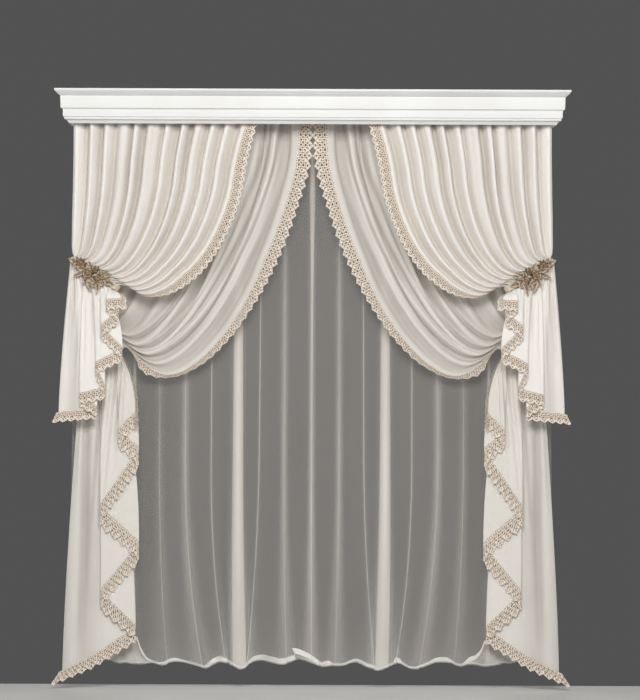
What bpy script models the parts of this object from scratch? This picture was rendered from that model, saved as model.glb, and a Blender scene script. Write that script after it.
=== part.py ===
"""Two pairs of draped, tied-back curtains and a net panel on one ceiling track board.

Origin: centre of the top face of the board. X across, -Y towards the room, +Z up. Metres.
Both sides are the same cloth mirrored, so every table gives distances out from the middle.
"""
import math

import bmesh
import bpy
import numpy as np

CLOTH = 0.0016          # thickness of a drape
NET = 0.0012            # thickness of the net panel
LACE = 0.0012           # thickness of the lace edging
SEAM = 0.0006           # lace stands off the cloth edge it is sewn to
HOLE_HALF = 0.0045      # half the length of the largest gap of each lace repeat
HOLE_TOP = 0.42         # where that gap starts and ends across the strip
HOLE_LOW = 0.58
HOLE_ROOM = 0.045       # a narrower, tucked part of a strip has no gap
HOLE_BEND = 0.90        # nor has a stretch that turns by more than about 25 degrees
TIE_HALF = 0.013        # half the width of a tie band
TIE_THICK = 0.0015
TIE_DEPTH = 0.0165      # half the depth of a tie loop
FRONT_TIE_EXTRA = 0.0070  # how far a loop reaches past the cloth at each end
BACK_TIE_EXTRA = 0.0050

BOARD_HALF = 1.0797
BOARD_FRONT = -0.1140
BOARD_BACK = 0.1160
BOARD_THICK = 0.0180
RAIL_HALF = 0.0060
RAIL_DROP = 0.0320
FRONT_RUN = -0.0750     # depth of each run of cloth
BACK_RUN = 0.0150
NET_RUN = 0.0850
FRONT_SLANT = 0.0130    # how much nearer the room the leading edge comes at the tie
BACK_SLANT = 0.0080

PELMET_INSIDE = 1.0800  # half width inside the returns
PELMET_BACK = 0.1160
# pelmet moulding, outward projection from the inside face and height
PELMET_PROFILE = (
    # out,    z
    (0.0000, 0.0000),
    (0.0750, 0.0000),
    (0.0750, -0.0080),
    (0.0700, -0.0140),
    (0.0600, -0.0240),
    (0.0500, -0.0320),
    (0.0480, -0.0860),
    (0.0420, -0.0890),
    (0.0390, -0.0930),
    (0.0380, -0.1240),
    (0.0330, -0.1270),
    (0.0320, -0.1350),
    (0.0200, -0.1410),
    (0.0120, -0.1530),
    (0.0000, -0.1530),
)

# upper part of each drape, from the heading down to the tie
FRONT_ROWS = (
    # outer d, outer z, edge d, edge z, lace d, lace z, pleat
    (1.072, -0.033, 0.264, -0.033, 0.214, -0.033, 0.020),
    (1.073, -0.290, 0.344, -0.324, 0.293, -0.336, 0.023),
    (1.075, -0.410, 0.374, -0.488, 0.324, -0.501, 0.023),
    (1.077, -0.500, 0.417, -0.605, 0.369, -0.625, 0.022),
    (1.079, -0.575, 0.483, -0.727, 0.442, -0.759, 0.020),
    (1.080, -0.645, 0.563, -0.817, 0.528, -0.855, 0.017),
    (1.081, -0.695, 0.662, -0.876, 0.640, -0.920, 0.014),
    (1.080, -0.722, 0.775, -0.898, 0.768, -0.924, 0.011),
    (1.078, -0.737, 0.838, -0.876, 0.831, -0.886, 0.009),
    (1.081, -0.762, 0.876, -0.890, 0.871, -0.893, 0.009),
)
BACK_ROWS = (
    # outer d, outer z, edge d, edge z, lace d, lace z, pleat
    (1.072, -0.033, 0.066, -0.033, 0.004, -0.033, 0.016),
    (1.073, -0.320, 0.076, -0.334, 0.013, -0.342, 0.018),
    (1.074, -0.450, 0.121, -0.506, 0.059, -0.522, 0.018),
    (1.076, -0.630, 0.217, -0.760, 0.157, -0.785, 0.018),
    (1.077, -0.740, 0.340, -0.975, 0.287, -1.011, 0.017),
    (1.076, -0.805, 0.432, -1.094, 0.385, -1.138, 0.016),
    (1.072, -0.850, 0.533, -1.184, 0.497, -1.237, 0.014),
    (1.064, -0.880, 0.650, -1.232, 0.643, -1.296, 0.012),
    (1.050, -0.906, 0.752, -1.202, 0.772, -1.268, 0.010),
    (1.025, -0.935, 0.812, -1.172, 0.806, -1.190, 0.008),
    (1.010, -0.985, 0.862, -1.160, 0.859, -1.163, 0.008),
)

# hem of each drape: the tail folds to and fro, each layer a little nearer the room
FRONT_HEM = (
    # column, d,  y,      seam z, lace d, lace z
    (0, 1.141, -0.062, -1.450, 1.164, -1.500),
    (9, 0.963, -0.066, -1.427, 0.963, -1.481),
    (10, 0.963, -0.078, -1.421, 0.963, -1.475),
    (13, 1.045, -0.080, -1.367, 1.045, -1.424),
    (14, 1.045, -0.089, -1.363, 1.045, -1.418),
    (17, 0.926, -0.091, -1.334, 0.926, -1.394),
    (18, 0.926, -0.099, -1.330, 0.926, -1.388),
    (20, 0.972, -0.101, -1.226, 0.972, -1.290),
    (21, 0.972, -0.109, -1.222, 0.972, -1.284),
    (25, 0.848, -0.111, -1.160, 0.848, -1.222),
    (26, 0.848, -0.119, -1.156, 0.848, -1.216),
    (30, 0.948, -0.121, -1.057, 0.948, -1.122),
    (31, 0.948, -0.129, -1.053, 0.948, -1.116),
    (35, 0.864, -0.131, -0.993, 0.864, -1.054),
    (36, 0.864, -0.138, -0.989, 0.864, -1.048),
    (39, 0.922, -0.140, -0.943, 0.922, -1.000),
    (40, 0.922, -0.147, -0.941, 0.922, -0.996),
    (45, 0.853, -0.149, -0.936, 0.850, -0.986),
)
BACK_HEM = (
    # column, d,  y,      seam z, lace d, lace z
    (0, 1.128, 0.027, -2.623, 1.178, -2.695),
    (4, 0.990, 0.024, -2.552, 0.990, -2.617),
    (9, 0.789, 0.021, -2.418, 0.789, -2.496),
    (10, 0.789, 0.009, -2.412, 0.789, -2.488),
    (13, 0.952, 0.007, -2.255, 0.952, -2.348),
    (14, 0.952, -0.003, -2.249, 0.952, -2.340),
    (17, 0.774, -0.005, -2.038, 0.774, -2.132),
    (18, 0.774, -0.014, -2.032, 0.774, -2.124),
    (21, 0.955, -0.016, -1.872, 0.955, -1.970),
    (22, 0.955, -0.025, -1.866, 0.955, -1.962),
    (26, 0.776, -0.027, -1.610, 0.776, -1.709),
    (27, 0.776, -0.035, -1.604, 0.776, -1.701),
    (30, 0.872, -0.037, -1.528, 0.872, -1.613),
    (31, 0.872, -0.045, -1.524, 0.872, -1.607),
    (37, 0.792, -0.047, -1.442, 0.788, -1.526),
)

# net panel: distance out from the middle at the heading and at the hem, fold depth, hem height
NET_FOLDS = (
    # heading d, hem d, half width, depth, hem z
    (0.000, 0.000, 0.016, 0.018, -2.572),
    (0.122, 0.120, 0.014, 0.016, -2.600),
    (0.227, 0.224, 0.014, 0.016, -2.578),
    (0.331, 0.322, 0.026, 0.020, -2.625),
    (0.450, 0.470, 0.016, 0.018, -2.618),
    (0.567, 0.580, 0.016, 0.018, -2.588),
    (0.688, 0.690, 0.016, 0.018, -2.602),
    (0.800, 0.805, 0.016, 0.018, -2.545),
    (0.910, 0.925, 0.016, 0.018, -2.560),
    (1.015, 1.035, 0.016, 0.018, -2.575),
)
NET_EDGE = (1.072, 1.098, -2.585)
NET_ROWS = (-0.033, -0.600, -1.300, -2.200)

# flower heads and leaves on each front tie, with the way each leaf points in the picture plane
ROSETTES = (
    # d,     z,      radius
    (1.038, -0.786, 0.021),
    (1.006, -0.830, 0.020),
    (0.974, -0.811, 0.015),
    (0.958, -0.852, 0.021),
)
LEAVES = (
    # d,     z,      length, width, turn
    (1.068, -0.771, 0.050, 0.026, 25.0),
    (0.992, -0.794, 0.046, 0.026, 60.0),
    (1.041, -0.823, 0.062, 0.024, 335.0),
    (1.001, -0.872, 0.056, 0.024, 250.0),
    (0.964, -0.886, 0.056, 0.024, 275.0),
    (0.918, -0.864, 0.056, 0.030, 205.0),
    (0.937, -0.827, 0.046, 0.020, 155.0),
)

IVORY = (0.86, 0.82, 0.76, 1.0)
CREAM = (0.80, 0.76, 0.70, 1.0)
NET_GREY = (0.62, 0.60, 0.57, 1.0)
ECRU = (0.72, 0.62, 0.48, 1.0)
PAINT = (0.90, 0.89, 0.86, 1.0)
UMBER = (0.26, 0.16, 0.08, 1.0)
FAWN = (0.50, 0.39, 0.26, 1.0)


def clear_scene():
    for obj in list(bpy.data.objects):
        bpy.data.objects.remove(obj, do_unlink=True)


def dress(obj, name, colour, roughness):
    """Name the piece and give it a finish of its own."""
    obj.name = name
    obj.data.name = name
    mat = bpy.data.materials.new(name + "_finish")
    mat.use_nodes = True
    bsdf = mat.node_tree.nodes["Principled BSDF"]
    bsdf.inputs["Base Color"].default_value = colour
    bsdf.inputs["Roughness"].default_value = roughness
    obj.data.materials.clear()
    obj.data.materials.append(mat)
    return obj


def thicken(obj, thickness):
    mod = obj.modifiers.new("Thickness", 'SOLIDIFY')
    mod.thickness = thickness
    mod.offset = 0.0


def sheet(name, points, thickness, colour, gaps=()):
    """A grid laid over rows of points and thickened.

    gaps are the columns whose middle faces are cut out on both sides."""
    rows, columns = points.shape[0] - 1, points.shape[1] - 1
    bpy.ops.mesh.primitive_grid_add(x_subdivisions=columns, y_subdivisions=rows, size=1.0)
    obj = bpy.context.object
    mesh = bmesh.new()
    mesh.from_mesh(obj.data)
    open_faces = []
    for face in mesh.faces:
        middle = face.calc_center_median()
        near = (middle.x + 0.5) * columns
        if rows == 3 and abs(middle.y) < 0.1 and any(abs(near - column) < 0.9 for column in gaps):
            open_faces.append(face)
    for vert in mesh.verts:
        column = round((vert.co.x + 0.5) * columns)
        row = round((vert.co.y + 0.5) * rows)
        vert.co = points[row, column]
    bmesh.ops.delete(mesh, geom=open_faces, context='FACES')
    mesh.to_mesh(obj.data)
    mesh.free()
    thicken(obj, thickness)
    return dress(obj, name, colour, 0.85)


def lerp(first, last, k):
    return first + (last - first) * k


def pleat_wave(column):
    """Two columns out, two columns back: one pleat."""
    return 1.0 if column % 4 < 2 else -1.0


def pleat_share(column):
    """Crests and valleys are wide, the flanks between them steep."""
    return (column // 4 + (0.0, 0.32, 0.50, 0.82)[column % 4])


def drape(rows, hem, run, slant, tail_cuts):
    """Rows of points for one drape, and the outer points of its lace, outer side first.

    slant is how much nearer the room the leading edge comes at the tie."""
    columns = hem[-1][0]
    pleats = pleat_share(columns)
    share = np.array([pleat_share(i) / pleats for i in range(columns + 1)])
    wave = np.array([pleat_wave(i) for i in range(columns + 1)])
    table = np.array(rows)
    outer, edge, lace = table[:, 0:2], table[:, 2:4], table[:, 4:6]
    waist = edge[-1] - outer[-1]
    along = waist / np.linalg.norm(waist)
    flow = np.array([-along[1], along[0]])
    grid, trim = [], []
    for k in range(len(rows) - 1):
        near = k / (len(rows) - 1.0)
        points = outer[k] + share[:, None] * (edge[k] - outer[k])
        depth = run + slant * near * (0.5 - share) * 2.0 - table[k, 6] * wave
        grid.append(np.column_stack([points[:, 0], depth, points[:, 1]]))
        trim.append((lace[k, 0], run - slant * near - table[k, 6] * wave[-1], lace[k, 1]))
    for side in (-1.0, 1.0):
        shift = flow * TIE_HALF * 1.15 * side
        points = outer[-1] + share[:, None] * waist + shift
        depth = run + slant * (0.5 - share) * 2.0 - table[-1, 6] * wave
        grid.append(np.column_stack([points[:, 0], depth, points[:, 1]]))
        trim.append((lace[-1, 0] + shift[0], depth[-1] - 0.001, lace[-1, 1] + shift[1]))
    fold = np.array(hem)
    index = np.arange(columns + 1)
    end = np.column_stack([np.interp(index, fold[:, 0], fold[:, c]) for c in (1, 2, 3)])
    end_lace = np.column_stack([np.interp(index, fold[:, 0], fold[:, c]) for c in (4, 2, 5)])
    start = grid[-1].copy()
    lead = np.clip((share - 0.10) / 0.25, 0.0, 1.0)
    for cut in tail_cuts:
        quick = 1.0 - (1.0 - cut) ** 2.2
        reach = lerp(cut, quick, lead)
        fade = (1.0 - cut) * np.where(index < 9, 1.0, 1.0 - min(1.0, cut * 3.0))
        ripple = -table[-1, 6] * wave * fade - 0.003 * wave * cut * (index < 8)
        flat = start[:, 1] + table[-1, 6] * wave
        grid.append(np.column_stack([
            lerp(start[:, 0], end[:, 0], reach),
            lerp(flat, end[:, 1], quick if cut < 1.0 else 1.0) + ripple,
            lerp(start[:, 2], end[:, 2], cut)]))
    grid[-1][:, 1] = end[:, 1] - 0.003 * wave * (index < 8)
    return np.array(grid), np.array(trim), end_lace


def edging(grid, trim, end_lace, turn, pitch, tooth):
    """Lace strip: down the leading edge, round the corner and out along the hem.

    turn is how the strip hangs off the leading edge of the tail."""
    side = np.array(turn)
    corner, up, across = grid[-1, -1], grid[-2, -1], grid[-1, -2]
    drop = end_lace[-1] - corner
    lines = [(grid[k, -1], np.array(p), SEAM) for k, p in enumerate(trim)]
    lines[-1] = lines[-1][:2] + (3.0 * SEAM,)
    for k in range(len(trim), len(grid) - 1):
        spread = min(1.0, 0.5 + 0.25 * (k - len(trim) + 1))
        lines.append((grid[k, -1], grid[k, -1] + side * spread, 3.4 * SEAM))
    turned = corner + (up - corner) * 0.08
    lines.append((turned, turned + side, 2.6 * SEAM))
    lines.append((corner, corner + side + drop, 4.0 * SEAM))
    turned = corner + (across - corner) * 0.20
    lines.append((turned, turned + drop, 1.5 * SEAM))
    for i in range(len(end_lace) - 2, -1, -1):
        low = np.array([end_lace[i, 0], grid[-1, i, 1], end_lace[i, 2]])
        lines.append((grid[-1, i], low, SEAM))
    inner, outer, gap = [lines[0][0]], [lines[0][1]], [SEAM]
    for first, last in zip(lines, lines[1:]):
        steps = max(1, int(round(np.linalg.norm(last[1] - first[1]) / pitch)))
        for n in range(1, steps + 1):
            inner.append(lerp(first[0], last[0], n / steps))
            outer.append(lerp(first[1], last[1], n / steps))
            gap.append(lerp(first[2], last[2], n / steps))
    inner, outer, gap = np.array(inner), np.array(outer), np.array(gap)[:, None]
    width = np.linalg.norm(outer - inner, axis=1)[:, None]
    away = (outer - inner) / width
    path = np.gradient(inner, axis=0)
    steep = np.abs(path[:, 2:3]) / np.hypot(path[:, 0:1], path[:, 1:2])
    steep = np.where(away[:, 2:3] < -0.95, np.minimum(steep, 3.0), 0.0)
    inner = inner + away * (gap + 0.001 * steep)
    room = pierceable(inner, outer, pitch)
    cut = np.array([tooth * (n % 2) for n in range(len(width))])[:, None]
    outer = outer - away * np.minimum(cut, width * 0.3)
    return pierced(inner, outer, room)


def pierceable(inner, outer, pitch):
    """Which points of a strip have a straight, wide and flat enough stretch on both sides."""
    room = []
    for n in range(2, len(inner) - 2, 2):
        fits = np.linalg.norm(outer[n] - inner[n]) > HOLE_ROOM
        for line in (inner, outer):
            before, after = line[n] - line[n - 1], line[n + 1] - line[n]
            first, last = np.linalg.norm(before), np.linalg.norm(after)
            fits = fits and min(first, last) > 0.6 * pitch
            fits = fits and np.dot(before, after) > HOLE_BEND * first * last
        if fits:
            room.append(n)
    return room


def pierced(inner, outer, room):
    """Four rows of points, with columns beside each gap, and the columns in their middles."""
    columns, gaps = [], []
    for n in range(len(inner)):
        if n in room:
            before = HOLE_HALF / np.linalg.norm(inner[n] - inner[n - 1])
            after = HOLE_HALF / np.linalg.norm(inner[n + 1] - inner[n])
            gaps.append(len(columns) + 1)
            columns += [n - before, n, n + after]
        else:
            columns.append(n)
    index = np.arange(len(inner))
    lines = [np.column_stack([np.interp(columns, index, line[:, c]) for c in range(3)])
             for line in (inner, outer)]
    rows = [lerp(lines[0], lines[1], k) for k in (0.0, HOLE_TOP, HOLE_LOW, 1.0)]
    return np.array(rows), gaps


def place(points, side):
    """Distances out from the middle become X on one side."""
    moved = np.array(points)
    moved[..., 0] *= side
    return moved


def net_points():
    lines = []
    for sign, folds in ((-1.0, NET_FOLDS[:0:-1]), (1.0, NET_FOLDS)):
        for top_d, hem_d, half, depth, hem_z in folds:
            lines.append((sign * top_d - half, sign * hem_d - half * 1.3, 0.0, hem_z + 0.02))
            lines.append((sign * top_d, sign * hem_d, depth, hem_z))
            lines.append((sign * top_d + half, sign * hem_d + half * 1.3, 0.0, hem_z + 0.02))
    edge = (NET_EDGE[0], NET_EDGE[1], 0.0, NET_EDGE[2])
    lines = [(-edge[0], -edge[1], 0.0, edge[3])] + lines + [edge]
    grid = []
    for z in NET_ROWS + (None,):
        row = []
        for top_x, hem_x, depth, hem_z in lines:
            height = hem_z if z is None else z
            k = height / hem_z
            row.append((lerp(top_x, hem_x, k), NET_RUN + 0.008 - depth, height))
        grid.append(row)
    return np.array(grid)


def board():
    """Ceiling board with three plain rails, one for each run of cloth."""
    low, rail = -BOARD_THICK, -RAIL_DROP
    outline = [(BOARD_FRONT, 0.0), (BOARD_FRONT, low)]
    for run in (FRONT_RUN, BACK_RUN, NET_RUN):
        outline += [(run - RAIL_HALF, low), (run - RAIL_HALF, rail),
                    (run + RAIL_HALF, rail), (run + RAIL_HALF, low)]
    outline += [(BOARD_BACK, low), (BOARD_BACK, 0.0)]
    ends = [[(side * BOARD_HALF, y, z) for y, z in outline] for side in (-1.0, 1.0)]
    return dress(prism(ends), "track_board", PAINT, 0.5)


def prism(ends):
    """A cylinder whose two rims take the outlines given."""
    count = len(ends[0])
    bpy.ops.mesh.primitive_cylinder_add(vertices=count, radius=1.0, depth=2.0)
    obj = bpy.context.object
    for vert in obj.data.vertices:
        step = round(math.atan2(vert.co.x, vert.co.y) / math.tau * count) % count
        vert.co = ends[0 if vert.co.z < 0 else 1][step]
    outward(obj)
    return obj


def outward(obj):
    """Turn every face of a closed piece outward."""
    bpy.ops.object.select_all(action='DESELECT')
    obj.select_set(True)
    bpy.context.view_layer.objects.active = obj
    bpy.ops.object.mode_set(mode='EDIT')
    bpy.ops.mesh.select_all(action='SELECT')
    bpy.ops.mesh.normals_make_consistent(inside=False)
    bpy.ops.object.mode_set(mode='OBJECT')


def pelmet():
    """Crown moulding mitred round the front and the two ends of the board."""
    face = BOARD_FRONT - 0.0003
    gap = 0.0003
    ends = [[(side * (PELMET_INSIDE + out - gap), face - out, z) for out, z in PELMET_PROFILE]
            for side in (-1.0, 1.0)]
    dress(prism(ends), "pelmet_front", PAINT, 0.45)
    for label, side in (("left", -1.0), ("right", 1.0)):
        ends = [[(side * (PELMET_INSIDE + out), face - out + gap, z) for out, z in PELMET_PROFILE],
                [(side * (PELMET_INSIDE + out), PELMET_BACK, z) for out, z in PELMET_PROFILE]]
        dress(prism(ends), "pelmet_return_" + label, PAINT, 0.45)


def tie_band(name, rows, run, slant, extra, side, colour):
    """A flat ribbon loop round the gathered cloth."""
    first = np.array((rows[-1][0], run + slant, rows[-1][1]))
    last = np.array((rows[-1][4], run - slant, rows[-1][5]))
    middle = (first + last) / 2.0
    span = last - first
    length = np.linalg.norm(span)
    along = span / length
    forward = np.cross(along, np.cross((0.0, -1.0, 0.0), along))
    forward /= np.linalg.norm(forward)
    flow = np.cross(along, forward)
    half, round_off = length / 2.0 + extra, TIE_DEPTH
    count = 16
    bpy.ops.mesh.primitive_cylinder_add(vertices=count, radius=1.0, depth=2.0,
                                        end_fill_type='NOTHING')
    obj = bpy.context.object
    for vert in obj.data.vertices:
        angle = math.atan2(vert.co.y, vert.co.x) + math.pi / count
        reach = math.copysign(half - round_off, math.cos(angle)) + round_off * math.cos(angle)
        point = (middle + along * reach + forward * round_off * math.sin(angle)
                 + flow * TIE_HALF * vert.co.z)
        vert.co = (point[0] * side, point[1], point[2])
    thicken(obj, TIE_THICK)
    dress(obj, name, colour, 0.8)


def tie_front(d, z):
    """Depth of the flat front of a front tie, at a distance out from the middle and a height."""
    first = np.array(FRONT_ROWS[-1][0:2])
    span = np.array(FRONT_ROWS[-1][4:6]) - first
    k = np.dot(np.array((d, z)) - first, span) / np.dot(span, span)
    bulge = TIE_DEPTH * math.cos(math.pi / 16.0)
    return FRONT_RUN + FRONT_SLANT * (1.0 - 2.0 * k) - bulge - TIE_THICK / 2.0


def rosette(name, d, z, radius, side):
    """Ruffled flower head, flat behind and domed towards the room."""
    bpy.ops.mesh.primitive_uv_sphere_add(segments=10, ring_count=4, radius=1.0)
    obj = bpy.context.object
    for vert in obj.data.vertices:
        ring = math.hypot(vert.co.x, vert.co.y)
        ruffle = 1.0 if round(math.atan2(vert.co.y, vert.co.x) / math.tau * 10) % 2 else 0.78
        swell = radius * lerp(1.0, ruffle, ring)
        x, up = d + vert.co.x * swell, z + vert.co.y * swell
        thick = 0.0120 * max(vert.co.z, 0.0) + 0.0004 * min(vert.co.z, 0.0)
        vert.co = (side * x, tie_front(x, up) - 0.0022 - thick, up)
    outward(obj)
    dress(obj, name, UMBER, 0.8)


def leaf(name, d, z, length, width, turn, side):
    """Pointed leaf, flat at its root and curling towards the room at its tip."""
    bpy.ops.mesh.primitive_grid_add(x_subdivisions=2, y_subdivisions=2, size=1.0)
    obj = bpy.context.object
    swing = math.radians(turn)
    for vert in obj.data.vertices:
        run, across = vert.co.x, vert.co.y
        wide = width * (0.60, 1.0, 0.18)[round((run + 0.5) * 2)]
        x, y = run * length, across * wide
        out = d + x * math.cos(swing) - y * math.sin(swing)
        up = z + x * math.sin(swing) + y * math.cos(swing)
        curl = 0.008 * max(run, 0.0) * 2.0
        vert.co = (side * out, tie_front(out, up) - 0.0009 - curl, up)
    thicken(obj, 0.001)
    dress(obj, name, FAWN, 0.8)


def build():
    clear_scene()
    board()
    pelmet()
    sheet("net_panel", net_points(), NET, NET_GREY)
    front = drape(FRONT_ROWS, FRONT_HEM, FRONT_RUN, FRONT_SLANT, (0.18, 0.42, 0.70, 1.0))
    back = drape(BACK_ROWS, BACK_HEM, BACK_RUN, BACK_SLANT, (0.10, 0.24, 0.45, 0.70, 1.0))
    front_lace, front_gaps = edging(*front, (-0.026, -0.006, -0.010), 0.023, 0.013)
    back_lace, back_gaps = edging(*back, (-0.018, -0.052, 0.0), 0.032, 0.016)
    for label, side in (("left", -1.0), ("right", 1.0)):
        sheet("front_drape_" + label, place(front[0], side), CLOTH, IVORY)
        sheet("front_lace_" + label, place(front_lace, side), LACE, ECRU, front_gaps)
        sheet("back_drape_" + label, place(back[0], side), CLOTH, CREAM)
        sheet("back_lace_" + label, place(back_lace, side), LACE, ECRU, back_gaps)
        tie_band("front_tie_" + label, FRONT_ROWS, FRONT_RUN, FRONT_SLANT,
                 FRONT_TIE_EXTRA, side, FAWN)
        tie_band("back_tie_" + label, BACK_ROWS, BACK_RUN, BACK_SLANT,
                 BACK_TIE_EXTRA, side, CREAM)
        for n, (d, z, radius) in enumerate(ROSETTES, 1):
            rosette(f"rosette_{n}_{label}", d, z, radius, side)
        for n, (d, z, length, width, turn) in enumerate(LEAVES, 1):
            leaf(f"leaf_{n}_{label}", d, z, length, width, turn, side)


build()
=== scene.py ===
"""Two pairs of voile drapes with lace edging and flower ties, a net panel and a pelmet.

Both sides are the same cloth mirrored, so the tables give distances out from the middle, d,
unless they say otherwise, and heights, z. X across, -Y forward, +Z up. Metres.
"""
import math

import bpy
import numpy as np
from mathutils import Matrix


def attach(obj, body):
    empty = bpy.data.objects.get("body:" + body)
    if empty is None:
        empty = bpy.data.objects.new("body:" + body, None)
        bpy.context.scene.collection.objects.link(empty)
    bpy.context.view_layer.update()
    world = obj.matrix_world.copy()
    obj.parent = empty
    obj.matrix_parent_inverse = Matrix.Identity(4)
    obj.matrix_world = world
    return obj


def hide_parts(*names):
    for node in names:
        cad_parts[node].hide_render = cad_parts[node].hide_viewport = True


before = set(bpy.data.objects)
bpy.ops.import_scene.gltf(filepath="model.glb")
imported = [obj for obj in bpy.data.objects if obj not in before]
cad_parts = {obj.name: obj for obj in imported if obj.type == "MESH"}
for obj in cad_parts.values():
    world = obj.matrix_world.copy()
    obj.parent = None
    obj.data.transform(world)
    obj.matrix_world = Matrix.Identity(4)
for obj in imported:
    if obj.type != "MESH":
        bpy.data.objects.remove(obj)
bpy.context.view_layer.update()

HEADING = -0.033        # height of every heading, just under the board
FRONT_RUN = -0.0750     # depth of each run of cloth
BACK_RUN = 0.0150
NET_RUN = 0.0850
NET_BEHIND = 0.004      # the net stands this far behind the middle of its run
FRONT_SLANT = 0.0130    # at the tie the outer edge stands this far back, the inner one as far forward
BACK_SLANT = 0.0080
DEEPER = 1.25           # the cloth folds deeper than the plain solid shows

FINE = 8                # steps of the fine cloth between two columns of a hem table
UPPER_STEPS = 72        # rows of fine cloth from the heading to the tie
FRONT_TAIL = 44         # rows of fine cloth below the tie
BACK_TAIL = 60
NET_STEPS = 78          # rows of the net above its turned hem

TIE_HALF = 0.013        # half the width of a tie band
PAST_TIE = 1.15         # the cloth stays gathered this many half widths above and below the tie
TIE_THICK = 0.0015
TIE_DEPTH = 0.0165      # half the depth of a tie loop
TIE_FLAT = math.cos(math.pi / 16.0)     # share of that depth at its flat front
FRONT_TIE_EXTRA = 0.0070                # how far a tie reaches past the cloth at each end
BACK_TIE_EXTRA = 0.0050

PETAL_STEPS = 6         # steps along and across one petal
PETAL_FULL = 1.15       # petals are this much wider than their ring says, so that they overlap
PETAL_CUP = 0.0022      # hollow of a petal
PETAL_CURL = -0.0030    # the outer petals curl back
PETAL_THICK = 0.0006
LEAF_THICK = 0.0007
FLOWER_DEPTH = 0.0125   # the flower heads stand no further out than this

# upper part of each drape, from the heading down to the tie
FRONT_ROWS = (
    # outer d, outer z, edge d, edge z, lace d, lace z, pleat
    (1.072, HEADING, 0.264, HEADING, 0.214, HEADING, 0.020),
    (1.073, -0.290, 0.344, -0.324, 0.293, -0.336, 0.023),
    (1.075, -0.410, 0.374, -0.488, 0.324, -0.501, 0.023),
    (1.077, -0.500, 0.417, -0.605, 0.369, -0.625, 0.022),
    (1.079, -0.575, 0.483, -0.727, 0.442, -0.759, 0.020),
    (1.080, -0.645, 0.563, -0.817, 0.528, -0.855, 0.017),
    (1.081, -0.695, 0.662, -0.876, 0.640, -0.920, 0.014),
    (1.080, -0.722, 0.775, -0.898, 0.768, -0.924, 0.011),
    (1.078, -0.737, 0.838, -0.876, 0.831, -0.886, 0.009),
    (1.081, -0.762, 0.876, -0.890, 0.871, -0.893, 0.009),
)
BACK_ROWS = (
    # outer d, outer z, edge d, edge z, lace d, lace z, pleat
    (1.072, HEADING, 0.066, HEADING, -0.009, HEADING, 0.016),
    (1.073, -0.320, 0.076, -0.334, 0.006, -0.342, 0.018),
    (1.074, -0.450, 0.121, -0.506, 0.059, -0.522, 0.018),
    (1.076, -0.630, 0.217, -0.760, 0.157, -0.785, 0.018),
    (1.077, -0.740, 0.340, -0.975, 0.287, -1.011, 0.017),
    (1.076, -0.805, 0.432, -1.094, 0.385, -1.138, 0.016),
    (1.072, -0.850, 0.533, -1.184, 0.497, -1.237, 0.014),
    (1.064, -0.880, 0.650, -1.232, 0.643, -1.296, 0.012),
    (1.050, -0.906, 0.752, -1.202, 0.772, -1.268, 0.010),
    (1.025, -0.935, 0.812, -1.172, 0.806, -1.190, 0.008),
    (1.010, -0.985, 0.862, -1.160, 0.859, -1.163, 0.008),
)

# hem of each drape: the tail folds to and fro, each layer a little further forward
FRONT_HEM = (
    # column, d,  y,      seam z, lace d, lace z
    (0, 1.141, -0.062, -1.450, 1.164, -1.500),
    (9, 0.963, -0.066, -1.427, 0.963, -1.481),
    (10, 0.963, -0.078, -1.421, 0.963, -1.475),
    (13, 1.045, -0.080, -1.367, 1.045, -1.424),
    (14, 1.045, -0.089, -1.363, 1.045, -1.418),
    (17, 0.926, -0.091, -1.334, 0.926, -1.394),
    (18, 0.926, -0.099, -1.330, 0.926, -1.388),
    (20, 0.972, -0.101, -1.226, 0.972, -1.290),
    (21, 0.972, -0.109, -1.222, 0.972, -1.284),
    (25, 0.848, -0.111, -1.160, 0.848, -1.222),
    (26, 0.848, -0.119, -1.156, 0.848, -1.216),
    (30, 0.948, -0.121, -1.057, 0.948, -1.122),
    (31, 0.948, -0.129, -1.053, 0.948, -1.116),
    (35, 0.864, -0.131, -0.993, 0.864, -1.054),
    (36, 0.864, -0.138, -0.989, 0.864, -1.048),
    (39, 0.922, -0.140, -0.943, 0.922, -1.000),
    (40, 0.922, -0.147, -0.941, 0.922, -0.996),
    (45, 0.853, -0.149, -0.936, 0.850, -0.986),
)
BACK_HEM = (
    # column, d,  y,      seam z, lace d, lace z
    (0, 1.128, 0.027, -2.623, 1.178, -2.695),
    (4, 0.990, 0.024, -2.552, 0.990, -2.617),
    (9, 0.789, 0.021, -2.418, 0.789, -2.496),
    (10, 0.789, 0.009, -2.412, 0.789, -2.488),
    (13, 0.952, 0.007, -2.255, 0.952, -2.348),
    (14, 0.952, -0.003, -2.249, 0.952, -2.340),
    (17, 0.774, -0.005, -2.038, 0.774, -2.132),
    (18, 0.774, -0.014, -2.032, 0.774, -2.124),
    (21, 0.955, -0.016, -1.872, 0.955, -1.970),
    (22, 0.955, -0.025, -1.866, 0.955, -1.962),
    (26, 0.776, -0.027, -1.610, 0.776, -1.709),
    (27, 0.776, -0.035, -1.604, 0.776, -1.701),
    (30, 0.872, -0.037, -1.528, 0.872, -1.613),
    (31, 0.872, -0.045, -1.524, 0.872, -1.607),
    (37, 0.792, -0.047, -1.442, 0.788, -1.526),
)

# flower heads and leaves on each front tie, with the way each leaf points in the picture plane
ROSETTES = (
    # d,     z,      radius
    (1.038, -0.786, 0.021),
    (1.006, -0.830, 0.020),
    (0.974, -0.811, 0.015),
    (0.958, -0.852, 0.021),
)
LEAVES = (
    # d,     z,      length, width, turn
    (1.068, -0.771, 0.050, 0.026, 25.0),
    (0.992, -0.794, 0.046, 0.026, 60.0),
    (1.041, -0.823, 0.062, 0.024, 335.0),
    (1.001, -0.872, 0.056, 0.024, 250.0),
    (0.964, -0.886, 0.056, 0.024, 275.0),
    (0.918, -0.864, 0.056, 0.030, 205.0),
    (0.937, -0.827, 0.046, 0.020, 155.0),
)

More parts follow.
